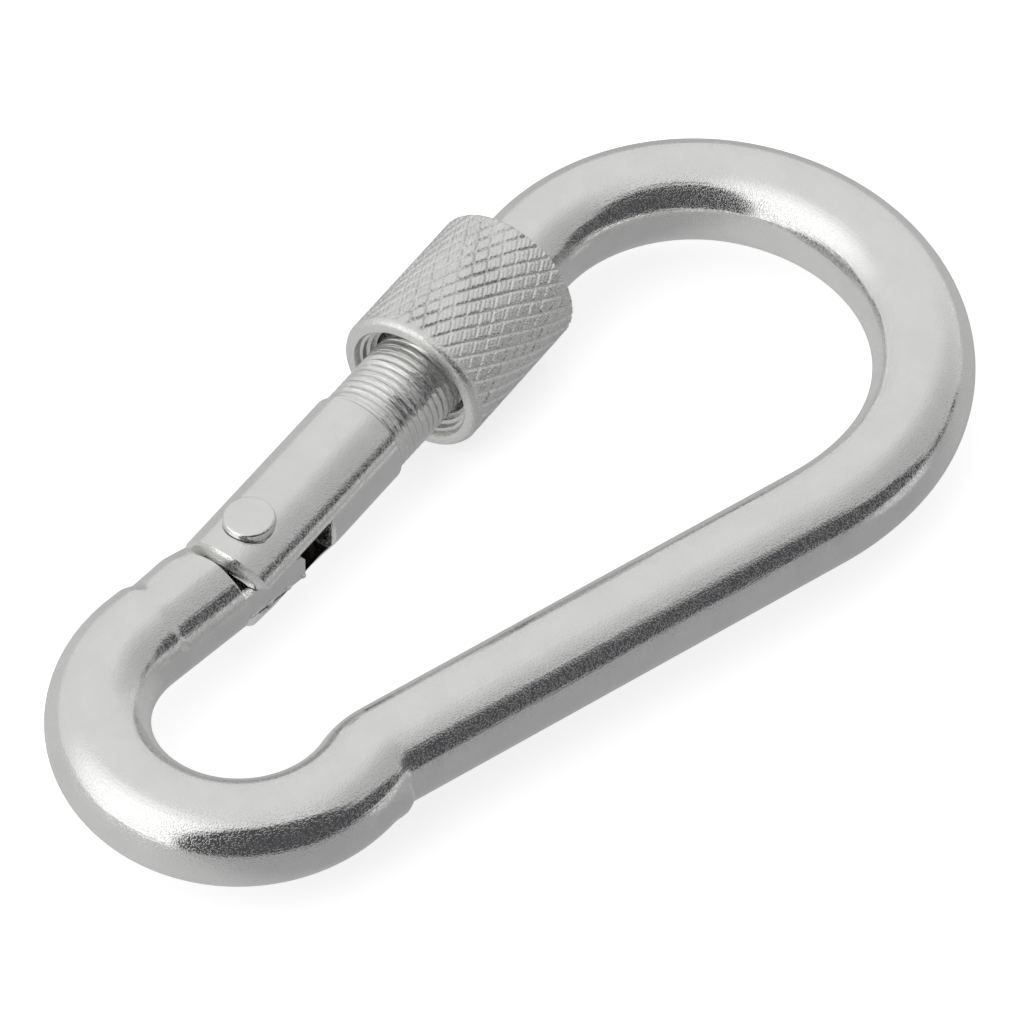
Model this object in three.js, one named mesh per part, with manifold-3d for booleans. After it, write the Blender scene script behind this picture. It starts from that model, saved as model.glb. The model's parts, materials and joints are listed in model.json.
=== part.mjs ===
// A screw-lock carabiner keyring, 80 mm long, bent from round steel wire.
// Six pieces: the bent wire body, the tubular gate, its hinge rivet, the spring and its plunger
// inside the gate, and the knurled locking sleeve that screws along the gate's thread.
// Millimetres. X runs along the hook towards the big bow, +Y towards the gate, and Z is across the
// wire's plane. The origin is the centre of the hook's bounding box.

import * as THREE from 'three';
import { mergeVertices } from 'three/addons/utils/BufferGeometryUtils.js';
import Module from 'manifold-3d';

const wasm = await Module();
wasm.setup();

// ---- driving dimensions ----

const wireRadius = 3.72;
const wireSides = 20;
const wireSteps = 84;

const eyeRadius = 9.93; // the small bow's centreline; its centre is the sketch's origin
const spineOffset = 8.45; // from the eye's centre to the spine's centreline
const spineAngle = -10.8; // degrees; the spine runs away from the long axis towards the big bow
const shoulderRadius = 4.5; // the reverse bend where the eye stands proud of the spine
const bowArcs = [
  { radius: 20.5, sweep: 18.6 },
  { radius: 16.85, sweep: 111 },
  { radius: 14.7 }, // this arc takes whatever turn is left
];

const pivotX = 10.85; // the rivet's axis, on the neck's centreline
const gateAngle = 9.3; // degrees, the closed gate against the long axis
const runningGap = 0.3;

// Stations along the gate, measured from the rivet's axis towards the nose.
const gateHingeEnd = -3.75;
const threadStart = 13.1;
const sleeveHingeEnd = 19.4;
const sleeveNoseEnd = 32.15;
const gateNoseEnd = 32.4;
const noseShoulder = 32.85;

const gateRadius = 3.86;
const threadRadius = 3.6;
const boreRadius = 2.6;
const boreEnd = 24.5;
const drillTip = 1.5;
const hingeSlotEnd = 5.2;
const turnedSides = 28;

const tongueHalfThickness = 1.3;
const tongueInner = -3.4; // from the rivet's axis towards the ring's inside
const tongueOuter = 1.05;
const wireShoulder = -4.55; // where the round wire stops and the tongue begins

const rivetShank = 1.2;
const rivetHead = 1.9;
const headTop = 4.4;
const headUnderside = 3.4;

const plungerFace = 3.9;
const plungerLength = 2.6;
const plungerRadius = boreRadius - runningGap;
const springRadius = 1.85;
const springWire = 0.3;
const springTurns = 9;

const sleeveRadius = 5.79;
const sleeveBore = threadRadius + 0.35;
const sleeveMouth = 4.7;
const sleeveMouthDepth = 2.2;
const rimChamfer = 0.45;

// ---- colours ----

function zinc(color, roughness) {
  return new THREE.MeshStandardMaterial({ color, roughness, metalness: 1 });
}

// ---- solids ----

function toSolid(geometry) {
  const bare = geometry.clone();
  bare.deleteAttribute('normal');
  bare.deleteAttribute('uv');
  const merged = mergeVertices(bare, 1e-4);
  const vertProperties = new Float32Array(merged.attributes.position.array);
  const triVerts = new Uint32Array(merged.index.array);
  return new wasm.Manifold(new wasm.Mesh({ numProp: 3, vertProperties, triVerts }));
}

function toGeometry(solid) {
  const mesh = solid.getMesh();
  const geometry = new THREE.BufferGeometry();
  geometry.setAttribute('position', new THREE.Float32BufferAttribute(mesh.vertProperties, 3));
  geometry.setIndex(Array.from(mesh.triVerts));
  geometry.computeVertexNormals();
  return geometry;
}

function block(low, high) {
  const size = high.map((value, axis) => value - low[axis]);
  const geometry = new THREE.BoxGeometry(...size);
  return geometry.translate(...low.map((value, axis) => value + size[axis] / 2));
}

// A turned piece: [station, radius] points from one end to the other, spun about the X axis.
function turned(profile) {
  const points = profile.map(([station, radius]) => new THREE.Vector2(radius, station));
  return new THREE.LatheGeometry(points, turnedSides).rotateZ(-Math.PI / 2);
}

// A pin along Z, between two heights.
function pin(radius, low, high) {
  const geometry = new THREE.CylinderGeometry(radius, radius, high - low, turnedSides);
  return geometry.rotateX(Math.PI / 2).translate(0, 0, (low + high) / 2);
}

// A plate in the XY plane, from corner points, centred on the wire's mid-plane.
function plate(corners, halfThickness) {
  const outline = new THREE.Shape(corners.map(([x, y]) => new THREE.Vector2(x, y)));
  const geometry = new THREE.ExtrudeGeometry(outline, { depth: 2 * halfThickness, bevelEnabled: false });
  return geometry.translate(0, 0, -halfThickness);
}

// ---- the bent wire's centreline ----

const radians = THREE.MathUtils.degToRad;

function direction(angle) {
  return new THREE.Vector2(Math.cos(radians(angle)), Math.sin(radians(angle)));
}

// Moves along one stretch: straight when it has a length, otherwise an arc that turns left for a
// positive sweep. Returns the point and heading after the part of the stretch that is asked for.
function follow(start, heading, stretch, part = 1) {
  if (stretch.length !== undefined) {
    const point = start.clone().addScaledVector(direction(heading), stretch.length * part);
    return { point, heading };
  }
  const side = Math.sign(stretch.sweep);
  const centre = start.clone().addScaledVector(direction(heading + 90 * side), stretch.radius);
  const turn = heading + stretch.sweep * part;
  const point = centre.addScaledVector(direction(turn - 90 * side), stretch.radius);
  return { point, heading: turn };
}

function lengthOf(stretch) {
  return stretch.length ?? stretch.radius * radians(Math.abs(stretch.sweep));
}

class BentWire extends THREE.Curve {
  constructor(start, heading, stretches) {
    super();
    this.runs = [];
    this.total = 0;
    for (const stretch of stretches) {
      this.runs.push({ start, heading, stretch, from: this.total });
      this.total += lengthOf(stretch);
      ({ point: start, heading } = follow(start, heading, stretch));
    }
    this.end = start;
  }

  getPoint(t, target = new THREE.Vector3()) {
    const along = t * this.total;
    const run = this.runs.findLast((candidate) => candidate.from <= along) ?? this.runs[0];
    const part = (along - run.from) / lengthOf(run.stretch);
    const { point } = follow(run.start, run.heading, run.stretch, part);
    return target.set(point.x, point.y, 0);
  }
}

// Neck, eye, reverse bend, spine, big bow and nose, starting at the hinge shoulder. The spine is as
// long as it takes for the big bow to end on the gate's axis.
function wirePath() {
  const pivot = new THREE.Vector2(pivotX, eyeRadius);
  const neckLength = pivotX + wireShoulder;
  const start = new THREE.Vector2(neckLength, eyeRadius);
  const lift = (spineOffset + shoulderRadius) / (eyeRadius + shoulderRadius);
  const reverseBend = THREE.MathUtils.radToDeg(Math.acos(lift));
  const bowTurn = 180 + gateAngle - spineAngle;
  const turned = bowArcs.reduce((sum, arc) => sum + (arc.sweep ?? 0), 0);
  const arcs = bowArcs.map((arc) => ({ radius: arc.radius, sweep: arc.sweep ?? bowTurn - turned }));
  const toSpine = [
    { length: neckLength },
    { radius: eyeRadius, sweep: 180 + spineAngle + reverseBend },
    { radius: shoulderRadius, sweep: -reverseBend },
  ];
  const loose = new BentWire(start, 180, [...toSpine, ...arcs]);
  const across = direction(gateAngle + 90);
  const miss = loose.end.clone().sub(pivot).dot(across);
  const spineLength = -miss / direction(spineAngle).dot(across);
  const closed = new BentWire(start, 180, [...toSpine, { length: spineLength }, ...arcs]);
  const bowEnd = closed.end.clone().sub(pivot).dot(direction(gateAngle));
  const nose = { length: bowEnd - noseShoulder };
  return new BentWire(start, 180, [...toSpine, { length: spineLength }, ...arcs, nose]);
}

// ---- pieces in the wire's own frame, with the eye's centre at the origin ----

// The tongue's slanted end is the cam that the plunger presses on: its inner corner reaches furthest
// along the gate, so opening the gate drives the plunger back.
function tongue() {
  return plate(
    [
      [wireShoulder - 2, tongueInner + 0.4],
      [wireShoulder, tongueInner],
      [2.1, tongueInner],
      [3.98, -2.3],
      [3.1, tongueOuter],
      [wireShoulder - 2, tongueOuter],
    ],
    tongueHalfThickness,
  ).translate(pivotX, eyeRadius, 0);
}

function hookBody() {
  const circle = new THREE.Shape();
  for (let side = 0; side < wireSides; side += 1) {
    const corner = direction((360 / wireSides) * side).multiplyScalar(wireRadius);
    if (side === 0) circle.moveTo(corner.x, corner.y);
    else circle.lineTo(corner.x, corner.y);
  }
  const wire = new THREE.ExtrudeGeometry(circle, { steps: wireSteps, extrudePath: wirePath() });
  const hole = pin(rivetShank + runningGap, -wireRadius, wireRadius).translate(pivotX, eyeRadius, 0);
  return toGeometry(toSolid(wire).add(toSolid(tongue())).subtract(toSolid(hole)));
}

// ---- pieces in the gate's frame: X along the gate from the rivet's axis, Y towards the outside ----

function gateTube() {
  const tube = turned([
    [boreEnd + drillTip, 0],
    [boreEnd, boreRadius],
    [gateHingeEnd, boreRadius],
    [gateHingeEnd, gateRadius - 0.4],
    [gateHingeEnd + 0.3, gateRadius],
    [threadStart, gateRadius],
    [threadStart + 0.4, threadRadius],
    [gateNoseEnd - 0.4, threadRadius],
    [gateNoseEnd, threadRadius - 0.4],
    [gateNoseEnd, 0],
  ]);
  const slotHalf = tongueHalfThickness + runningGap;
  const hingeSlot = block([gateHingeEnd - 1, -gateRadius - 1, -slotHalf], [hingeSlotEnd, 0, slotHalf]);
  // The hinge end slants back on the inner side, so that it clears the wire's shoulder as it opens.
  const heel = plate(
    [
      [gateHingeEnd - 1, -1.2],
      [gateHingeEnd - 1, -4.3],
      [gateHingeEnd + 0.66, -4.3],
      [gateHingeEnd, -1.2],
    ],
    gateRadius,
  );
  // T-shaped pocket in the nose end, open towards the outside.
  const headPocket = block([27.7, -1.6, -2.2], [30.6, 4.5, 2.2]);
  const neckPocket = block([30.5, -1.6, -1.4], [gateNoseEnd + 1, 4.5, 1.4]);
  const cuts = [hingeSlot, heel, headPocket, neckPocket, pin(rivetShank + runningGap, -5, 5)];
  for (const side of [-1, 1]) {
    const seat = pin(rivetHead + runningGap, headUnderside - runningGap, 5);
    cuts.push(side > 0 ? seat : seat.rotateX(Math.PI));
  }
  const solid = cuts.reduce((body, cut) => body.subtract(toSolid(cut)), toSolid(tube));
  return toGeometry(solid);
}

function hingeRivet() {
  const profile = [
    [-headTop, 0],
    [-headTop, rivetHead],
    [-headUnderside, rivetHead],
    [-headUnderside, rivetShank],
    [headUnderside, rivetShank],
    [headUnderside, rivetHead],
    [headTop, rivetHead],
    [headTop, 0],
  ];
  return turned(profile).rotateY(-Math.PI / 2);
}

function springPlunger() {
  const stem = springRadius - springWire - 0.4;
  const shoulder = plungerFace + 1.4;
  return turned([
    [plungerFace, 0],
    [plungerFace, plungerRadius - 0.4],
    [plungerFace + 0.4, plungerRadius],
    [shoulder, plungerRadius],
    [shoulder, stem],
    [plungerFace + plungerLength, stem],
    [plungerFace + plungerLength, 0],
  ]);
}

class Coil extends THREE.Curve {
  constructor(from, to) {
    super();
    this.from = from;
    this.to = to;
  }

  getPoint(t, target = new THREE.Vector3()) {
    const angle = 2 * Math.PI * springTurns * t;
    const station = THREE.MathUtils.lerp(this.from, this.to, t);
    return target.set(station, springRadius * Math.cos(angle), springRadius * Math.sin(angle));
  }
}

function gateSpring() {
  const seat = plungerFace + 1.4 + springWire + runningGap;
  const path = new Coil(seat, boreEnd - springWire - runningGap);
  const section = new THREE.Shape(
    [0, 72, 144, 216, 288].map((angle) => direction(angle).multiplyScalar(springWire)),
  );
  return new THREE.ExtrudeGeometry(section, { steps: springTurns * 12, extrudePath: path });
}

function lockSleeve() {
  const mouthEnd = sleeveHingeEnd + sleeveMouthDepth;
  return turned([
    [mouthEnd, sleeveBore],
    [mouthEnd, sleeveMouth],
    [sleeveHingeEnd, sleeveMouth],
    [sleeveHingeEnd, sleeveRadius - rimChamfer],
    [sleeveHingeEnd + rimChamfer, sleeveRadius],
    [sleeveNoseEnd - rimChamfer, sleeveRadius],
    [sleeveNoseEnd, sleeveRadius - rimChamfer],
    [sleeveNoseEnd, sleeveBore],
    [mouthEnd, sleeveBore],
  ]);
}

// ---- assembly ----

function piece(name, geometry, material) {
  const mesh = new THREE.Mesh(geometry, material);
  mesh.name = name;
  return mesh;
}

// Everything that swings with the gate, placed at the rivet and turned to the closed position.
function gateGroup() {
  const gate = new THREE.Group();
  gate.position.set(pivotX, eyeRadius, 0);
  gate.rotation.z = radians(gateAngle);
  gate.add(piece('gate_tube', gateTube(), zinc(0xcfcfd0, 0.3)));
  gate.add(piece('hinge_rivet', hingeRivet(), zinc(0xd4d4d5, 0.28)));
  gate.add(piece('spring_plunger', springPlunger(), zinc(0xa8a491, 0.45)));
  gate.add(piece('gate_spring', gateSpring(), zinc(0x9c9a92, 0.4)));
  gate.add(piece('lock_sleeve', lockSleeve(), zinc(0xc4c4c4, 0.4)));
  return gate;
}

const carabiner = new THREE.Group();
carabiner.add(piece('hook_body', hookBody(), zinc(0xcdcdce, 0.25)));
carabiner.add(gateGroup());

// The box's centre, in the wire's own frame, becomes the origin.
const box = new THREE.Box3().setFromObject(carabiner, true);
carabiner.position.copy(box.getCenter(new THREE.Vector3()).negate());

export default carabiner;
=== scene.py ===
"""Looks of the screw-lock carabiner keyring.

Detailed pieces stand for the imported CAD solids: the bent wire body, the threaded gate tube, the
rivet, the spring and plunger inside the gate, and the knurled sleeve. Zinc materials, a pale
floor, a soft light tent and the camera follow. Builders work in millimetres, and a mesh turns
into metres when it is made.
"""

import json
import math

import bpy
import numpy as np
from mathutils import Matrix, Vector
from mathutils.kdtree import KDTree


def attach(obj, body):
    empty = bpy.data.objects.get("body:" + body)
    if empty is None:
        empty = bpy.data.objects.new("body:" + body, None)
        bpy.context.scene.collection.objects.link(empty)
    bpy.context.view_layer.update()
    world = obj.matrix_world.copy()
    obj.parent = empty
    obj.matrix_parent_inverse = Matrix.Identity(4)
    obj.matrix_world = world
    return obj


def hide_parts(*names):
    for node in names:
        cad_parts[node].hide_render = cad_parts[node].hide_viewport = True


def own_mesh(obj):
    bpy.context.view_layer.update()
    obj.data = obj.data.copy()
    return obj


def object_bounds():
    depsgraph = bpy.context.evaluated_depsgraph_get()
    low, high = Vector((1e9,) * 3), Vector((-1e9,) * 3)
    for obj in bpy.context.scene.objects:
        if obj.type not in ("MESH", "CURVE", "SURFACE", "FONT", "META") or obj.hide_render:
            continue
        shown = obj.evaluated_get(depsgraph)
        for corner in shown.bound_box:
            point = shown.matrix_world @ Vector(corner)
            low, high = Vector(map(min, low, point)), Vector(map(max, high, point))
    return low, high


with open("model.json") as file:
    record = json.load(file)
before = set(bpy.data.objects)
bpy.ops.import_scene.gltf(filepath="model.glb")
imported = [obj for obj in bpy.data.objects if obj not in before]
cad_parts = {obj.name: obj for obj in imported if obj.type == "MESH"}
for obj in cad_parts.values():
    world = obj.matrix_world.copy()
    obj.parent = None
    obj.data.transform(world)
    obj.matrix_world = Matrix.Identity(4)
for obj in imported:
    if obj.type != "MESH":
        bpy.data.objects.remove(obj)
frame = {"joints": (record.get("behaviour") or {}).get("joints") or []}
cad_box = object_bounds()

MM = 0.001

# ---- the wire, in its own frame: the small bow's centre at the origin, X towards the big bow ----

WIRE_RADIUS = 3.72
EYE_RADIUS = 9.93
SPINE_OFFSET = 8.45
SPINE_ANGLE = math.radians(-10.8)
SHOULDER_BEND = 4.5
BOW_ARCS = [(20.5, math.radians(18.6)), (16.85, math.radians(111))]
LAST_BOW_RADIUS = 14.7
WIRE_STEP = 0.3
WIRE_COLUMNS = 72

PIVOT_X = 10.85
WIRE_SHOULDER = -4.5  # from the rivet's axis
WIRE_END = -3.3  # the shoulder reaches further on the outside, where the closed gate rests
END_ROUNDING = 0.12
# Distance from the wire's end and depth, where a die pressed the outside of the neck.
PRESSED = [(0, 0.5), (1.2, 0.3), (2.4, 0.13), (5.5, 0.3), (6.4, 0)]
FLAT_END = 6.4
FLAT_DEPTH = 0.12
LIP_AT = 41.15  # the bead where the eye's bending tool stopped
LIP_HEIGHT = 0.25

TONGUE_FACES = (-1.2, 1.33)
TONGUE_ROUNDING = 0.15
TONGUE_INNER = -3.38
TIP_CENTRE = (0.95, 0.0)
TIP_RADIUS = 1.3
# Place along the tongue's low edge and half length of each burr.
BURRS = [(-3.0, 0.45), (-1.4, 0.4), (0.4, 0.3), (1.9, 0.24)]
BURR_HALF = (0.13, 0.15)  # across and in height

# The nose's T-head, in the gate's frame.
NECK_START = 29.6
NECK_HALF = (1.3, 1.1)
HEAD_ENDS = (28.4, 30.3)
HEAD_SIDES = (-1.3, 2.6)
HEAD_HALF = 1.9
HEAD_ROUNDING = 0.15

# ---- the gate, in its own frame: the rivet's axis at the origin, X towards the nose ----

GATE_RADIUS = 3.86
HINGE_EDGE = -3.38  # where the tube's round side ends at its top
HINGE_SADDLE = 0.055  # how the end curves back towards both sides, per millimetre squared
GATE_NOSE_END = 32.4
GATE_COLUMNS = 96
BODY_END = 13.1
NOSE_SHOULDER = 32.85
HINGE_CHAMFER = (0.5, 0.75)  # along and inwards
BORE_RADIUS = 2.6
BORE_END = 24.5
DRILL_TIP = 1.5
SLOT_END = 5.05
SLOT_FLOOR_END = 4.7
SLOT_FACES = (-1.27, 1.41)
FLAT_TILT = 25  # degrees, how far below level the flat beside the slot faces
HEAD_POCKET = ((27.7, -1.6, -2.2), (30.6, 4.5, 2.2))  # opposite corners
NECK_POCKET = ((30.5, -1.6, -1.4), (GATE_NOSE_END + 1, 4.5, 1.4))

THREAD_RADIUS = 3.6
THREAD_PITCH = 0.63
THREAD_DEPTH = 0.11
BORE_THREAD_DEPTH = 0.2
THREAD_ROWS_PER_PITCH = 10
THREAD_RELIEF = 0.3

RIVET_SHANK = 1.2
RIVET_HEAD = 1.9
RIVET_TOP = 4.4
RIVET_UNDERSIDE = 3.4
FIT = 0.05

PLUNGER_FACE = 3.9
PLUNGER_SHOULDER = 5.3
PLUNGER_END = 6.5
PLUNGER_RADIUS = 2.3
PLUNGER_STEM = 1.15
SPRING_RADIUS = 1.85
SPRING_WIRE = 0.3
SPRING_TURNS = 9
SPRING_ENDS = (5.62, 24.2)

SLEEVE_ENDS = (19.42, 32.12)
SLEEVE_TILT = 0.5  # degrees of play on the gate
SLEEVE_RADIUS = 5.79
SLEEVE_BORE = 3.95
SLEEVE_MOUTH = 4.72
MOUTH_STEPS = [(1.6, 4.15), (1.1, 4.17), (1.0, 4.42), (0.55, 4.45), (0.5, 4.66), (0.15, 4.72)]
SLEEVE_COLUMNS = 384
RIM_CHAMFER = 0.45
KNURL_STARTS = 32
KNURL_ANGLES = (math.radians(-30.4), math.radians(28.8))
KNURL_DEPTH = 0.2
KNURL_STEP = 0.08


# ---- meshes ----


def mesh_object(name, points, faces):
    """A smooth-shaded object from points in millimetres, with sharp edges kept sharp."""
    mesh = bpy.data.meshes.new(name)
    mesh.from_pydata((np.asarray(points, float) * MM).tolist(), [], faces)
    mesh.shade_smooth()
    mesh.set_sharp_from_angle(angle=math.radians(40))
    piece = bpy.data.objects.new(name, mesh)
    bpy.context.scene.collection.objects.link(piece)
    return piece


def skin(name, rings, closed=False):
    """A surface through rings of points; a closed one joins the last ring to the first."""
    count, columns = rings.shape[:2]
    faces = []
    for row in range(count if closed else count - 1):
        here = row * columns
        there = (row + 1) % count * columns
        for column in range(columns):
            side = (column + 1) % columns
            faces.append((here + column, here + side, there + side, there + column))
    if not closed:
        last = (count - 1) * columns
        faces.append(tuple(range(columns))[::-1])
        faces.append(tuple(range(last, last + columns)))
    return mesh_object(name, rings.reshape(-1, 3), faces)


def turned(name, stations, radii, columns, closed=False):
    """A piece turned about X. Each station and radius is one number, or one per column."""
    turn = np.linspace(0, 2 * math.pi, columns, endpoint=False)
    along = np.array([station + 0 * turn for station in stations])
    radii = np.array([radius + 0 * turn for radius in radii])
    rings = np.stack([along, radii * np.cos(turn), radii * np.sin(turn)], axis=2)
    return skin(name, rings, closed)


def plate(name, outline, low, high):
    """A plate between two heights, from corners that run anticlockwise in the XY plane."""
    bottom = [(x, y, low) for x, y in outline]
    top = [(x, y, high) for x, y in outline]
    return skin(name, np.array([bottom, top]))


def block(name, low, high):
    corners = [(low[0], low[1]), (high[0], low[1]), (high[0], high[1]), (low[0], high[1])]
    return plate(name, corners, low[2], high[2])


def pin(name, radius, low, high, columns=64):
    turn = np.linspace(0, 2 * math.pi, columns, endpoint=False)
    outline = list(zip(radius * np.cos(turn), radius * np.sin(turn)))
    return plate(name, outline, low, high)


def apply_modifiers(piece):
    graph = bpy.context.evaluated_depsgraph_get()
    plain = piece.data
    piece.data = bpy.data.meshes.new_from_object(piece.evaluated_get(graph))
    piece.modifiers.clear()
    bpy.data.meshes.remove(plain)


def combine(piece, other, operation):
    """Cuts another object away from a piece, or joins it on, and removes the other object."""
    step = piece.modifiers.new(operation.lower(), "BOOLEAN")
    step.operation = operation
    step.solver = "EXACT"
    step.object = other
    apply_modifiers(piece)
    bpy.data.objects.remove(other)


def soften(piece, width, segments=3):
    step = piece.modifiers.new("soften", "BEVEL")
    step.width = width * MM
    step.segments = segments
    step.limit_method = "ANGLE"
    step.angle_limit = math.radians(35)
    apply_modifiers(piece)


def finish_shading(piece, angle=40):
    piece.data.shade_smooth()
    piece.data.set_sharp_from_angle(angle=math.radians(angle))


def smooth_step(value, start, end):
    part = np.clip((value - start) / (end - start), 0, 1)
    return part * part * (3 - 2 * part)


# ---- places ----


def joint(name):
    return next(entry for entry in frame["joints"] if entry["name"] == name)


def gate_frame():
    """The gate's frame in the row frame: origin on the rivet's axis, X along the closed gate."""
    along = Vector(joint("sleeve_travel")["axis"])
    turn = Matrix.Rotation(math.atan2(along.y, along.x), 4, "Z")
    return Matrix.Translation(joint("gate_swing")["pos_m"]) @ turn


def wire_frame():
    pivot = Vector(joint("gate_swing")["pos_m"])
    return Matrix.Translation(pivot - Vector((PIVOT_X, EYE_RADIUS, 0)) * MM)


GATE_ANGLE = math.atan2(joint("sleeve_travel")["axis"][1], joint("sleeve_travel")["axis"][0])


def place(piece, placement, node, body, material):
    """Stands the piece for a CAD node and makes it move with that node's body."""
    piece.matrix_world = placement
    piece.data.materials.clear()
    piece.data.materials.append(material)
    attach(piece, body)
    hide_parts(node)


# ---- the bent wire ----


def heading_vector(angle):
    return np.array([math.cos(angle), math.sin(angle)])


def advance(point, heading, length, curvature):
    """Moves along a straight or an arc; a positive curvature turns left."""
    if curvature == 0:
        return point + length * heading_vector(heading), heading
    turned_to = heading + length * curvature
    centre = point + heading_vector(heading + math.pi / 2) / curvature
    return centre - heading_vector(turned_to + math.pi / 2) / curvature, turned_to


def walk(start, heading, stretches):
    for length, curvature in stretches:
        start, heading = advance(start, heading, length, curvature)
    return start


def arc(radius, sweep):
    return abs(radius * sweep), math.copysign(1 / radius, sweep)


def wire_stretches():
    """Length and curvature of each stretch from the hinge to the nose. The spine's length brings
    the end of the big bow onto the gate's axis."""
    pivot = np.array([PIVOT_X, EYE_RADIUS])
    neck = PIVOT_X + WIRE_END
    reverse = math.acos((SPINE_OFFSET + SHOULDER_BEND) / (EYE_RADIUS + SHOULDER_BEND))
    to_spine = [
        (neck, 0),
        arc(EYE_RADIUS, math.pi + SPINE_ANGLE + reverse),
        arc(SHOULDER_BEND, -reverse),
    ]
    bow = [arc(radius, sweep) for radius, sweep in BOW_ARCS]
    left_over = math.pi + GATE_ANGLE - SPINE_ANGLE - sum(sweep for _, sweep in BOW_ARCS)
    bow.append(arc(LAST_BOW_RADIUS, left_over))
    start = np.array([neck, EYE_RADIUS])
    across = heading_vector(GATE_ANGLE + math.pi / 2)
    miss = np.dot(walk(start, math.pi, to_spine + bow) - pivot, across)
    spine = (-miss / np.dot(heading_vector(SPINE_ANGLE), across), 0)
    end = walk(start, math.pi, to_spine + [spine] + bow)
    nose = (np.dot(end - pivot, heading_vector(GATE_ANGLE)) - NOSE_SHOULDER, 0)
    return start, to_spine + [spine] + bow + [nose]


def wire_stations():
    """Points, headings and distances along the wire's centreline."""
    point, stretches = wire_stretches()
    heading, travelled = math.pi, 0.0
    points, headings, distances = [], [], []
    for length, curvature in stretches:
        steps = math.ceil(length / WIRE_STEP)
        for step in range(steps):
            part = length * step / steps
            here, towards = advance(point, heading, part, curvature)
            points.append(here)
            headings.append(towards)
            distances.append(travelled + part)
        point, heading = advance(point, heading, length, curvature)
        travelled += length
    points.append(point)
    headings.append(heading)
    distances.append(travelled)
    return np.array(points), np.array(headings), np.array(distances)


def wire_radii(distances, turn):
    """The wire's radius at each station and column: the neck that was pressed in a die, and the
    lip beside the eye. Column angles run from the inside of the bends over the top to the
    outside."""
    along = distances[:, None]
    around = turn[None, :]
    radii = WIRE_RADIUS + 0 * along * around
    outer_side = smooth_step(np.cos(around - math.radians(150)), 0.2, 0.9)
    radii = radii - np.interp(along, *zip(*PRESSED)) * outer_side
    inner_top = smooth_step(np.cos(around - math.radians(42)), 0.8, 1)
    before_flat_end = 1 - smooth_step(along, FLAT_END, FLAT_END + 0.3)
    radii = radii - FLAT_DEPTH * inner_top * before_flat_end
    lip_side = smooth_step(np.cos(around - math.radians(215)), 0.55, 0.85)
    return radii + LIP_HEIGHT * np.exp(-(((along - LIP_AT) / 0.55) ** 2)) * lip_side


def wire_piece():
    points, headings, distances = wire_stations()
    turn = np.linspace(0, 2 * math.pi, WIRE_COLUMNS, endpoint=False)
    radii = wire_radii(distances, turn)
    inward = np.stack([-np.sin(headings), np.cos(headings)], axis=1)
    flat = points[:, None, :] + (radii * np.cos(turn))[:, :, None] * inward[:, None, :]
    rings = np.concatenate([flat, (radii * np.sin(turn))[:, :, None]], axis=2)
    wire = skin("wire_body", rings)
    combine(wire, shoulder_cutter(), "DIFFERENCE")
    soften(wire, END_ROUNDING, 2)
    return wire


def shoulder_cutter():
    """Cuts the shoulder parallel to the closed gate's end, and nearer to it on the outside."""
    outline = [
        (WIRE_SHOULDER + 5.8 * math.tan(GATE_ANGLE), -5),
        (WIRE_END + 1, -5),
        (WIRE_END + 1, 5),
        (WIRE_END - 0.05, 4.1),
        (WIRE_SHOULDER, 0.8),
    ]
    cutter = plate("shoulder", outline, -WIRE_RADIUS - 1, WIRE_RADIUS + 1)
    cutter.data.transform(Matrix.Translation(Vector((PIVOT_X, EYE_RADIUS, 0)) * MM))
    return cutter


def bead(name, centre, half):
    """A small ellipsoid, from its centre and half sizes."""
    slope = np.linspace(0.05, math.pi - 0.05, 12)
    piece = turned(name, -np.cos(slope), np.sin(slope), 20)
    piece.data.transform(Matrix.Translation(Vector(centre) * MM) @ Matrix.Diagonal((*half, 1)))
    return piece


def tip_cutter():
    """Rounds the upper corner of the tongue's tip, on the side that the slot shows."""
    sweep = np.radians(np.linspace(90, -12, 14))
    outline = [
        (TIP_CENTRE[0] + TIP_RADIUS * math.cos(angle), TIP_CENTRE[1] + TIP_RADIUS * math.sin(angle))
        for angle in sweep
    ]
    outline += [(4.5, outline[-1][1]), (4.5, 2), (TIP_CENTRE[0], 2)]
    cutter = plate("tip", outline, 2.6, 4)
    cutter.data.transform(Matrix.Rotation(math.pi / 2, 4, "X"))
    return cutter


def tongue_piece():
    """The flat blade that the rivet holds, with the end that the plunger presses on. It is made
    about the rivet's axis."""
    outline = [
        (WIRE_SHOULDER - 2, -3.1),
        (WIRE_SHOULDER, TONGUE_INNER),
        (2.1, TONGUE_INNER),
        (2.3, -2.3),
        (3.8, -0.9),
        (3.1, 1.05),
        (WIRE_SHOULDER - 2, 1.05),
    ]
    blade = plate("tongue", outline, *TONGUE_FACES)
    combine(blade, tip_cutter(), "DIFFERENCE")
    soften(blade, TONGUE_ROUNDING)
    for along, half_length in BURRS:
        place_at = (along, TONGUE_INNER, TONGUE_FACES[0] + 0.1)
        burr = bead("burr", place_at, (half_length, *BURR_HALF))
        combine(blade, burr, "UNION")
    combine(blade, pin("hole", RIVET_SHANK + FIT, -WIRE_RADIUS, WIRE_RADIUS), "DIFFERENCE")
    blade.data.transform(Matrix.Translation(Vector((PIVOT_X, EYE_RADIUS, 0)) * MM))
    return blade


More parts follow.
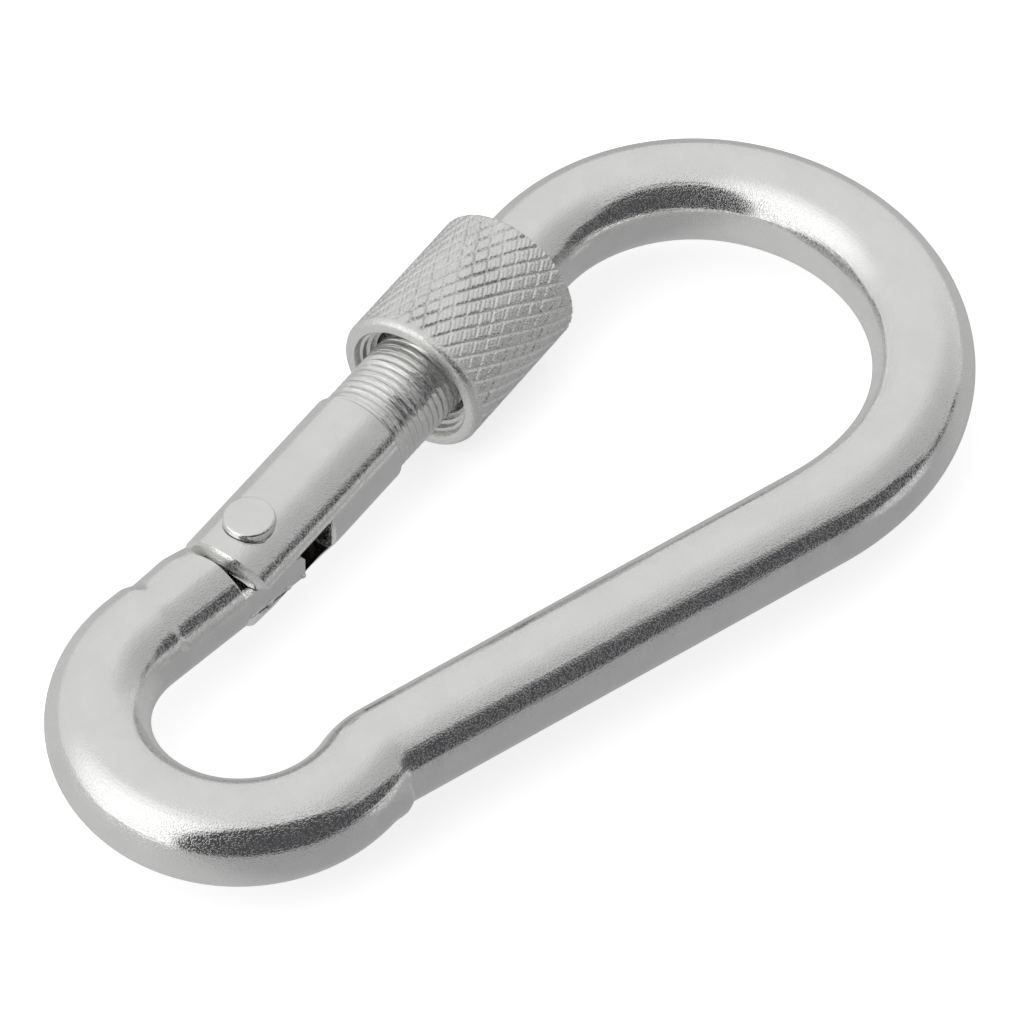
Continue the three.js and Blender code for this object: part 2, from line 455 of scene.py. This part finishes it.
def latch_piece():
    """The T-shaped end of the nose, which the gate's pocket takes in."""
    across, high = NECK_HALF
    neck = block("latch", (NECK_START, -across, -high), (NOSE_SHOULDER + 0.6, across, high))
    low_corner = (HEAD_ENDS[0], HEAD_SIDES[0], -HEAD_HALF)
    high_corner = (HEAD_ENDS[1], HEAD_SIDES[1], HEAD_HALF)
    combine(neck, block("head", low_corner, high_corner), "UNION")
    soften(neck, HEAD_ROUNDING, 2)
    turn = Matrix.Rotation(GATE_ANGLE, 4, "Z")
    to_wire = Matrix.Translation(Vector((PIVOT_X, EYE_RADIUS, 0)) * MM) @ turn
    neck.data.transform(to_wire)
    return neck


def mark_along_wire(piece):
    """Stores each point's place in the straight bar the wire was bent from, for its grain."""
    points, headings, distances = wire_stations()
    tree = KDTree(len(points))
    for index, point in enumerate(points):
        tree.insert(Vector((*point, 0)) * MM, index)
    tree.balance()
    bar = []
    for vertex in piece.data.vertices:
        _, index, _ = tree.find((vertex.co.x, vertex.co.y, 0))
        away = np.array(vertex.co.xy) / MM - points[index]
        forward = heading_vector(headings[index])
        inward = heading_vector(headings[index] + math.pi / 2)
        bar += [distances[index] + np.dot(away, forward), np.dot(away, inward), vertex.co.z / MM]
    attribute = piece.data.attributes.new("bar", "FLOAT_VECTOR", "POINT")
    attribute.data.foreach_set("vector", bar)


def hook_piece():
    body = wire_piece()
    combine(body, tongue_piece(), "UNION")
    combine(body, latch_piece(), "UNION")
    finish_shading(body)
    mark_along_wire(body)
    return body


# ---- the gate ----


def thread_cut(stations, turn, depth, run_in):
    """Depth of a worn helical groove at each station and column."""
    phase = (stations[:, None] / THREAD_PITCH - turn[None, :] / (2 * math.pi)) % 1
    groove = 1 - np.clip(np.abs(phase - 0.5) / 0.42, 0, 1)
    crest = 1 + 0.25 * np.sin(3 * turn[None, :] + stations[:, None] * 1.7)
    crest = crest + 0.4 * np.sin(2.3 * stations[:, None] - turn[None, :])
    started = smooth_step(stations[:, None], run_in, run_in + THREAD_PITCH)
    return depth * crest * groove**0.8 * started


def gate_piece():
    """A tube drilled from its hinge end, with a thread, a slot for the tongue and a pocket for
    the hook's head. Its hinge end curves back towards both sides."""
    turn = np.linspace(0, 2 * math.pi, GATE_COLUMNS, endpoint=False)
    edge = HINGE_EDGE + HINGE_SADDLE * (GATE_RADIUS * np.cos(turn)) ** 2
    profile = [
        (BORE_END + DRILL_TIP, 0.05),
        (BORE_END, BORE_RADIUS),
        (edge - HINGE_CHAMFER[0], BORE_RADIUS),
        (edge - HINGE_CHAMFER[0], GATE_RADIUS - HINGE_CHAMFER[1]),
        (edge, GATE_RADIUS),
    ]
    profile += [(station, GATE_RADIUS) for station in np.linspace(-2.3, BODY_END, 40)]
    profile.append((BODY_END + THREAD_RELIEF, THREAD_RADIUS))
    thread = np.arange(BODY_END + 0.4, GATE_NOSE_END - 0.4, THREAD_PITCH / THREAD_ROWS_PER_PITCH)
    cut = thread_cut(thread, turn, THREAD_DEPTH, BODY_END + 0.4)
    profile += list(zip(thread, THREAD_RADIUS - cut))
    profile.append((GATE_NOSE_END, THREAD_RADIUS - 0.4))
    tube = turned("gate", *zip(*profile), GATE_COLUMNS)
    cutters = [
        slot_cutter(),
        flat_cutter(),
        block("head_pocket", *HEAD_POCKET),
        block("neck_pocket", *NECK_POCKET),
        pin("shank_hole", RIVET_SHANK + FIT, -5, 5),
        pin("upper_seat", RIVET_HEAD + FIT, RIVET_UNDERSIDE, 5),
        pin("lower_seat", RIVET_HEAD + FIT, -5, -RIVET_UNDERSIDE),
    ]
    for cutter in cutters:
        combine(tube, cutter, "DIFFERENCE")
    finish_shading(tube)
    return tube


def slot_cutter():
    """The slot runs in from the hinge end, and its other end leans outwards a little."""
    outline = [
        (-6, -5),
        (SLOT_END + 0.3, -5),
        (SLOT_END, -GATE_RADIUS),
        (SLOT_FLOOR_END, -BORE_RADIUS),
        (SLOT_FLOOR_END, 0),
        (-6, 0),
    ]
    return plate("slot", outline, *SLOT_FACES)


def flat_cutter():
    """Presses the slot's lower wall flat, and fades out beyond the slot."""
    outline = [(-6, -6), (6.2, -6), (6.2, -3.9), (4.8, -3.7), (3.5, -3.6), (-1, -3.6), (-4.5, -3.38)]
    cutter = plate("flat", outline, -4, 4)
    cutter.data.transform(Matrix.Rotation(math.radians(FLAT_TILT), 4, "X"))
    return cutter


def rivet_piece():
    """A shank with two flat heads, rounded a little where the hammer spread them."""
    half = [
        (RIVET_UNDERSIDE, RIVET_SHANK),
        (RIVET_UNDERSIDE, RIVET_HEAD - 0.06),
        (RIVET_UNDERSIDE + 0.15, RIVET_HEAD),
        (RIVET_TOP - 0.22, RIVET_HEAD - 0.02),
        (RIVET_TOP - 0.1, RIVET_HEAD - 0.07),
        (RIVET_TOP - 0.03, RIVET_HEAD - 0.15),
        (RIVET_TOP, RIVET_HEAD - 0.28),
    ]
    profile = [(-height, radius) for height, radius in reversed(half)] + half
    stations = [height for height, _ in profile]
    radii = [radius for _, radius in profile]
    rivet = turned("rivet", stations, radii, 72)
    rivet.data.transform(Matrix.Rotation(-math.pi / 2, 4, "Y"))
    return rivet


def plunger_piece():
    profile = [
        (PLUNGER_FACE, PLUNGER_RADIUS - 0.5),
        (PLUNGER_FACE + 0.08, PLUNGER_RADIUS - 0.3),
        (PLUNGER_FACE + 0.3, PLUNGER_RADIUS - 0.05),
        (PLUNGER_FACE + 0.45, PLUNGER_RADIUS),
        (PLUNGER_SHOULDER, PLUNGER_RADIUS),
        (PLUNGER_SHOULDER, PLUNGER_STEM),
        (PLUNGER_END - 0.15, PLUNGER_STEM),
        (PLUNGER_END, PLUNGER_STEM - 0.15),
    ]
    return turned("plunger", *zip(*profile), 64)


def spring_piece():
    """A compression spring with a closed turn at each end."""
    steps = SPRING_TURNS * 32
    part = np.linspace(0, 1, steps)
    angle = 2 * math.pi * (SPRING_TURNS + 2) * part
    closed = 1 / (SPRING_TURNS + 2)
    open_part = np.interp(part, [0, closed, 1 - closed, 1], [0, 0.03, 0.97, 1])
    station = SPRING_ENDS[0] + (SPRING_ENDS[1] - SPRING_ENDS[0]) * open_part
    centre = np.stack([station, SPRING_RADIUS * np.cos(angle), SPRING_RADIUS * np.sin(angle)], 1)
    outward = np.stack([0 * angle, np.cos(angle), np.sin(angle)], axis=1)
    tangent = np.gradient(centre, axis=0)
    tangent /= np.linalg.norm(tangent, axis=1)[:, None]
    side = np.cross(tangent, outward)
    turn = np.linspace(0, 2 * math.pi, 12, endpoint=False)
    across = np.cos(turn)[None, :, None] * outward[:, None]
    beside = np.sin(turn)[None, :, None] * side[:, None]
    rings = centre[:, None] + SPRING_WIRE * (across + beside)
    return skin("spring", rings[:, ::-1])


# ---- the sleeve ----


def groove(phase, half_width):
    """1 at the middle of a V-shaped groove, 0 outside it; phase counts pitches."""
    away = np.abs((phase + 0.5) % 1 - 0.5)
    return np.clip(1 - away / half_width, 0, 1)


def knurl_cut(stations, turn):
    """Depth of the diamond knurl. One family is a clean V, the other is tracked three times."""
    pitch = 2 * math.pi * SLEEVE_RADIUS / KNURL_STARTS
    around = turn[None, :] * KNURL_STARTS / (2 * math.pi)
    along = (stations[:, None] - SLEEVE_ENDS[0]) / pitch
    clean = groove(around + along * math.tan(KNURL_ANGLES[0]), 0.16)
    phase = around + along * math.tan(KNURL_ANGLES[1])
    tracked = np.maximum(groove(phase, 0.13), 0.5 * groove(phase * 3, 0.3))
    worn = 0.85 + 0.15 * np.sin(5 * turn[None, :] + 0.9 * stations[:, None])
    first = SLEEVE_ENDS[0] + RIM_CHAMFER
    run_in = smooth_step(stations[:, None], first, first + 0.5)
    return KNURL_DEPTH * worn * run_in * np.maximum(clean, 0.8 * tracked)


def sleeve_piece():
    turn = np.linspace(0, 2 * math.pi, SLEEVE_COLUMNS, endpoint=False)
    near, far = SLEEVE_ENDS
    mouth = near + MOUTH_STEPS[0][0]
    knurled = np.arange(near + RIM_CHAMFER, far - 0.15, KNURL_STEP)
    outer = SLEEVE_RADIUS - knurl_cut(knurled, turn)
    inner = np.arange(far - 0.3, mouth + 0.2, -THREAD_PITCH / 6)
    bore = SLEEVE_BORE - thread_cut(inner, turn, BORE_THREAD_DEPTH, 0)
    opening = [
        (far, SLEEVE_RADIUS - 0.2),
        (far, SLEEVE_BORE + 0.3),
    ]
    entry = [(mouth, SLEEVE_BORE)]
    entry += [(near + depth, radius) for depth, radius in MOUTH_STEPS]
    entry += [
        (near, SLEEVE_MOUTH + 0.12),
        (near, SLEEVE_RADIUS - RIM_CHAMFER),
        (near + RIM_CHAMFER * 0.35, SLEEVE_RADIUS - RIM_CHAMFER * 0.3),
    ]
    profile = [*zip(knurled, outer), *opening, *zip(inner, bore), *entry]
    return turned("sleeve", *zip(*profile), SLEEVE_COLUMNS, closed=True)


def sleeve_play():
    """The sleeve sits a little askew on the gate, as its loose thread lets it."""
    middle = Matrix.Translation((sum(SLEEVE_ENDS) / 2 * MM, 0, 0))
    return middle @ Matrix.Rotation(math.radians(SLEEVE_TILT), 4, "Z") @ middle.inverted()


# ---- materials ----


class Nodes:
    """Small helper that adds and links shader nodes."""

    def __init__(self, tree):
        self.tree = tree

    def add(self, kind, **settings):
        node = self.tree.nodes.new(kind)
        for name, value in settings.items():
            setattr(node, name, value)
        return node

    def link(self, source, target):
        self.tree.links.new(source, target)

    def noise(self, coordinates, size, detail=2.0, stretch=(1, 1, 1)):
        """Noise whose grains are about size long, in the unit of the coordinates."""
        mapping = self.add("ShaderNodeMapping")
        mapping.inputs["Scale"].default_value = [factor / size for factor in stretch]
        self.link(coordinates, mapping.inputs["Vector"])
        texture = self.add("ShaderNodeTexNoise")
        texture.inputs["Scale"].default_value = 1.0
        texture.inputs["Detail"].default_value = detail
        self.link(mapping.outputs["Vector"], texture.inputs["Vector"])
        return texture.outputs["Fac"]

    def remap(self, value, low, high, to_low, to_high):
        node = self.add("ShaderNodeMapRange", interpolation_type="SMOOTHSTEP")
        for socket, number in zip(range(1, 5), (low, high, to_low, to_high)):
            node.inputs[socket].default_value = number
        self.link(value, node.inputs["Value"])
        return node.outputs["Result"]

    def blend(self, factor, first, second):
        node = self.add("ShaderNodeMix", data_type="RGBA")
        node.inputs["A"].default_value = (*first, 1)
        node.inputs["B"].default_value = (*second, 1)
        self.link(factor, node.inputs["Factor"])
        return node.outputs["Result"]

    def mix(self, factor, first, colour):
        """Goes from a linked colour to a fixed one."""
        node = self.add("ShaderNodeMix", data_type="RGBA")
        node.inputs["B"].default_value = (*colour, 1)
        self.link(factor, node.inputs["Factor"])
        self.link(first, node.inputs["A"])
        return node.outputs["Result"]

    def product(self, first, second):
        node = self.add("ShaderNodeMath", operation="MULTIPLY")
        self.link(first, node.inputs[0])
        self.link(second, node.inputs[1])
        return node.outputs["Value"]

    def bump(self, height, depth, below=None):
        node = self.add("ShaderNodeBump")
        node.inputs["Strength"].default_value = 1.0
        node.inputs["Distance"].default_value = depth
        self.link(height, node.inputs["Height"])
        if below is not None:
            self.link(below, node.inputs["Normal"])
        return node.outputs["Normal"]


GRAIN_SIZE = 0.12
PIT_SIZE = 0.12
PIT_DEPTH = 0.005
DIMPLE_DEPTH = 0.002
TURNING_DEPTH = 0.09
# Near-black base colour painted into the gate's slot and bore as painted shade, not the metal's own
# colour.
SLOT_PAINTED_SHADE = (0.1, 0.095, 0.09)
# Where the painted shade in the gate's slot fades in and out, in millimetres in the gate's frame.
MASK_START = (1.0, 1.2)
MASK_LOW = (-1.34, -1.28)
MASK_HIGH = (1.42, 1.48)


def slot_shade_mask(nodes, place_on):
    """1 inside the gate's slot and the bore behind it, where the metal gets painted shade."""
    parts = nodes.add("ShaderNodeSeparateXYZ")
    nodes.link(place_on, parts.inputs["Vector"])
    along = parts.outputs["X"]
    past_tongue = nodes.remap(along, MASK_START[0] * MM, MASK_START[1] * MM, 0, 1)
    before_end = nodes.remap(along, (SLOT_FLOOR_END - 0.2) * MM, (SLOT_FLOOR_END - 0.1) * MM, 1, 0)
    inner_half = nodes.remap(parts.outputs["Y"], -0.4 * MM, 0, 1, 0)
    low = nodes.remap(parts.outputs["Z"], MASK_LOW[0] * MM, MASK_LOW[1] * MM, 0, 1)
    high = nodes.remap(parts.outputs["Z"], MASK_HIGH[0] * MM, MASK_HIGH[1] * MM, 1, 0)
    deep = nodes.product(inner_half, nodes.product(low, high))
    return nodes.product(nodes.product(past_tongue, before_end), deep)


def zinc(
    name,
    light,
    dark,
    roughness,
    grain,
    coordinates="Object",
    streak=0.0,
    turned_from=None,
    paint_slot_shade=False,
):
    """Bright zinc plate on steel: mottled tone, uneven gloss, fine grain and faint dimples.

    grain and streak are depths in millimetres, of the fine grain and of the lines drawn along X.
    A part from turned_from onwards carries turning marks around X. Coordinates are the object's
    own metres, or a stored attribute in millimetres for the bent wire."""
    material = bpy.data.materials.new(name)
    material.use_nodes = True
    tree = material.node_tree
    nodes = Nodes(tree)
    shader = tree.nodes["Principled BSDF"]
    shader.inputs["Metallic"].default_value = 1.0
    if coordinates == "Object":
        place_on = nodes.add("ShaderNodeTexCoord").outputs["Object"]
        unit = MM
    else:
        place_on = nodes.add("ShaderNodeAttribute", attribute_name=coordinates).outputs["Vector"]
        unit = 1.0
    mottle = nodes.noise(place_on, 2.5 * unit, 3.0)
    tone = nodes.blend(nodes.remap(mottle, 0.35, 0.65, 0, 1), dark, light)
    # Painted shade: the slot and the bore behind it turn near-black in the base colour.
    if paint_slot_shade:
        tone = nodes.mix(slot_shade_mask(nodes, place_on), tone, SLOT_PAINTED_SHADE)
    nodes.link(tone, shader.inputs["Base Color"])
    speck = nodes.noise(place_on, PIT_SIZE * unit, 1.0)
    nodes.link(
        nodes.remap(speck, 0.3, 0.75, roughness * 0.7, roughness * 2),
        shader.inputs["Roughness"],
    )
    pits = nodes.remap(speck, 0.52, 0.62, 0, 1)
    fine = nodes.noise(place_on, GRAIN_SIZE * unit, 2.0)
    dimple = nodes.noise(place_on, 1.3 * unit, 1.0)
    normal = nodes.bump(fine, grain * MM)
    normal = nodes.bump(pits, PIT_DEPTH * MM, normal)
    normal = nodes.bump(dimple, DIMPLE_DEPTH * MM, normal)
    if streak:
        lines = nodes.noise(place_on, 0.25 * unit, 2.0, stretch=(0.03, 1, 1))
        normal = nodes.bump(lines, streak * MM, normal)
    if turned_from is not None:
        marks = nodes.noise(place_on, 0.12 * unit, 2.0, stretch=(1, 0.12, 0.12))
        parts = nodes.add("ShaderNodeSeparateXYZ")
        nodes.link(place_on, parts.inputs["Vector"])
        beyond = nodes.remap(parts.outputs["X"], turned_from * MM, (turned_from + 0.2) * MM, 0, 1)
        normal = nodes.bump(nodes.product(marks, beyond), TURNING_DEPTH * MM, normal)
    nodes.link(normal, shader.inputs["Normal"])
    return material


def floor_material():
    material = bpy.data.materials.new("floor_paper")
    material.use_nodes = True
    shader = material.node_tree.nodes["Principled BSDF"]
    shader.inputs["Base Color"].default_value = (0.93, 0.93, 0.93, 1)
    shader.inputs["Roughness"].default_value = 0.9
    shader.inputs["Specular IOR Level"].default_value = 0.1
    shader.inputs["Emission Color"].default_value = (1, 1, 1, 1)
    shader.inputs["Emission Strength"].default_value = 0.6
    return material


# ---- studio ----


def direction_vector(azimuth, elevation):
    """Azimuth anticlockwise from +X, elevation above the floor, both in degrees."""
    turn, rise = math.radians(azimuth), math.radians(elevation)
    return (math.cos(turn) * math.cos(rise), math.sin(turn) * math.cos(rise), math.sin(rise))


def patch(nodes, direction, azimuth, elevation, core, edge):
    """1 within core degrees of a direction, falling to 0 at edge degrees."""
    dot = nodes.add("ShaderNodeVectorMath", operation="DOT_PRODUCT")
    nodes.link(direction, dot.inputs[0])
    dot.inputs[1].default_value = direction_vector(azimuth, elevation)
    low, high = math.cos(math.radians(edge)), math.cos(math.radians(core))
    return nodes.remap(dot.outputs["Value"], low, high, 0, 1)


# Each patch of the tent: azimuth, elevation, and the radii where it starts to fade and ends.
BRIGHT_PANEL = (172, 25, 14, 58)
SHADED_SIDE = (-42, 28, 8, 48)
OPENINGS = [(-118, 12, 45, 53), (-75, 0, 29, 33), (-38, 1, 5, 9), (-26, 1, 3, 7)]
FAR_GROUND = (130, -20, 40, 95)
SIDE_GROUND = (5, -12, 15, 50)
NEAR_GROUND = (-56, -4, 9, 15)

CLOTH = (0.78, 0.78, 0.78)
PANEL_LIGHT = (1.3, 1.3, 1.29)
SHADE = (0.5, 0.5, 0.5)
OPENING = (0.075, 0.075, 0.08)
GROUND = (0.38, 0.38, 0.385)
FAR_GROUND_LIGHT = (0.62, 0.62, 0.62)
SIDE_GROUND_LIGHT = (0.52, 0.52, 0.52)
NEAR_GROUND_LIGHT = (0.68, 0.68, 0.68)
HORIZON_BLUR = 0.02


def light_tent():
    """A white tent, brightest at one side, with dark openings in it and a greyer ground that the
    undersides mirror."""
    world = bpy.data.worlds.new("light_tent")
    bpy.context.scene.world = world
    world.use_nodes = True
    nodes = Nodes(world.node_tree)
    direction = nodes.add("ShaderNodeTexCoord").outputs["Generated"]
    tent = nodes.blend(patch(nodes, direction, *BRIGHT_PANEL), CLOTH, PANEL_LIGHT)
    tent = nodes.mix(patch(nodes, direction, *SHADED_SIDE), tent, SHADE)
    for opening in OPENINGS:
        tent = nodes.mix(patch(nodes, direction, *opening), tent, OPENING)
    ground = nodes.blend(patch(nodes, direction, *FAR_GROUND), GROUND, FAR_GROUND_LIGHT)
    ground = nodes.mix(patch(nodes, direction, *SIDE_GROUND), ground, SIDE_GROUND_LIGHT)
    ground = nodes.mix(patch(nodes, direction, *NEAR_GROUND), ground, NEAR_GROUND_LIGHT)
    height = nodes.add("ShaderNodeSeparateXYZ")
    nodes.link(direction, height.inputs["Vector"])
    below = nodes.remap(height.outputs["Z"], HORIZON_BLUR, -HORIZON_BLUR, 0, 1)
    mix = nodes.add("ShaderNodeMix", data_type="RGBA")
    nodes.link(below, mix.inputs["Factor"])
    nodes.link(tent, mix.inputs["A"])
    nodes.link(ground, mix.inputs["B"])
    background = world.node_tree.nodes["Background"]
    nodes.link(mix.outputs["Result"], background.inputs["Color"])


FLOOR_HALF = 1.5  # metres
FLOOR_GAP = 0.02  # millimetres below the part


def floor():
    """White paper under the object. The metal mirrors the tent's grey ground instead of it."""
    low, _ = cad_box
    height = low.z / MM - FLOOR_GAP
    half = FLOOR_HALF / MM
    corners = [(-half, -half), (half, -half), (half, half), (-half, half)]
    ground = mesh_object("floor", [(x, y, height) for x, y in corners], [(0, 1, 2, 3)])
    ground.data.materials.append(floor_material())
    ground.visible_glossy = False


CAMERA_AZIMUTH = -46.43  # degrees, 0 looks along +Y
CAMERA_ELEVATION = 50.21
CAMERA_ROLL = 0.43
CAMERA_DISTANCE = 0.56117
CAMERA_LENS = 277.94
CAMERA_AIM = (0.00026, -0.00063, 0)


def camera():
    data = bpy.data.cameras.new("camera")
    data.lens = CAMERA_LENS
    data.sensor_width = 36
    data.clip_start = 0.01
    viewer = bpy.data.objects.new("camera", data)
    bpy.context.scene.collection.objects.link(viewer)
    turn, rise = math.radians(CAMERA_AZIMUTH), math.radians(CAMERA_ELEVATION)
    back = Vector((math.sin(turn) * math.cos(rise), -math.cos(turn) * math.cos(rise), math.sin(rise)))
    viewer.location = Vector(CAMERA_AIM) + back * CAMERA_DISTANCE
    level = (-back).to_track_quat("-Z", "Y").to_matrix().to_4x4()
    roll = Matrix.Rotation(math.radians(CAMERA_ROLL), 4, "Z")
    viewer.matrix_world = Matrix.Translation(viewer.location) @ level @ roll
    bpy.context.scene.camera = viewer


# ---- the scene ----

LIGHT_ZINC = (0.83, 0.83, 0.82)
DARK_ZINC = (0.8, 0.8, 0.785)
SPRING_STEEL = ((0.5, 0.49, 0.47), (0.4, 0.39, 0.37))
PLUNGER_STEEL = ((0.6, 0.58, 0.52), (0.5, 0.48, 0.42))

hook = hook_piece()
place(
    hook,
    wire_frame(),
    "hook_body",
    "hook",
    zinc("wire_zinc", LIGHT_ZINC, DARK_ZINC, 0.09, 0.006, "bar", streak=0.01),
)
gate = gate_piece()
place(
    gate,
    gate_frame(),
    "gate_tube",
    "gate",
    zinc(
        "gate_zinc",
        LIGHT_ZINC,
        DARK_ZINC,
        0.09,
        0.006,
        turned_from=BODY_END + THREAD_RELIEF,
        # Paints shade into the slot and the bore behind it.
        paint_slot_shade=True,
    ),
)
rivet = rivet_piece()
place(
    rivet,
    gate_frame(),
    "hinge_rivet",
    "gate",
    zinc("rivet_zinc", LIGHT_ZINC, DARK_ZINC, 0.12, 0.006),
)
spring = spring_piece()
place(
    spring,
    gate_frame(),
    "gate_spring",
    "gate",
    zinc("spring_steel", *SPRING_STEEL, 0.3, 0.004),
)
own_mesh(spring)
plunger = plunger_piece()
place(
    plunger,
    gate_frame(),
    "spring_plunger",
    "plunger",
    zinc("plunger_steel", *PLUNGER_STEEL, 0.4, 0.01),
)
sleeve = sleeve_piece()
place(
    sleeve,
    gate_frame() @ sleeve_play(),
    "lock_sleeve",
    "sleeve",
    zinc("sleeve_zinc", LIGHT_ZINC, DARK_ZINC, 0.14, 0.045),
)

light_tent()
floor()
camera()
bpy.context.scene.view_settings.view_transform = "Standard"
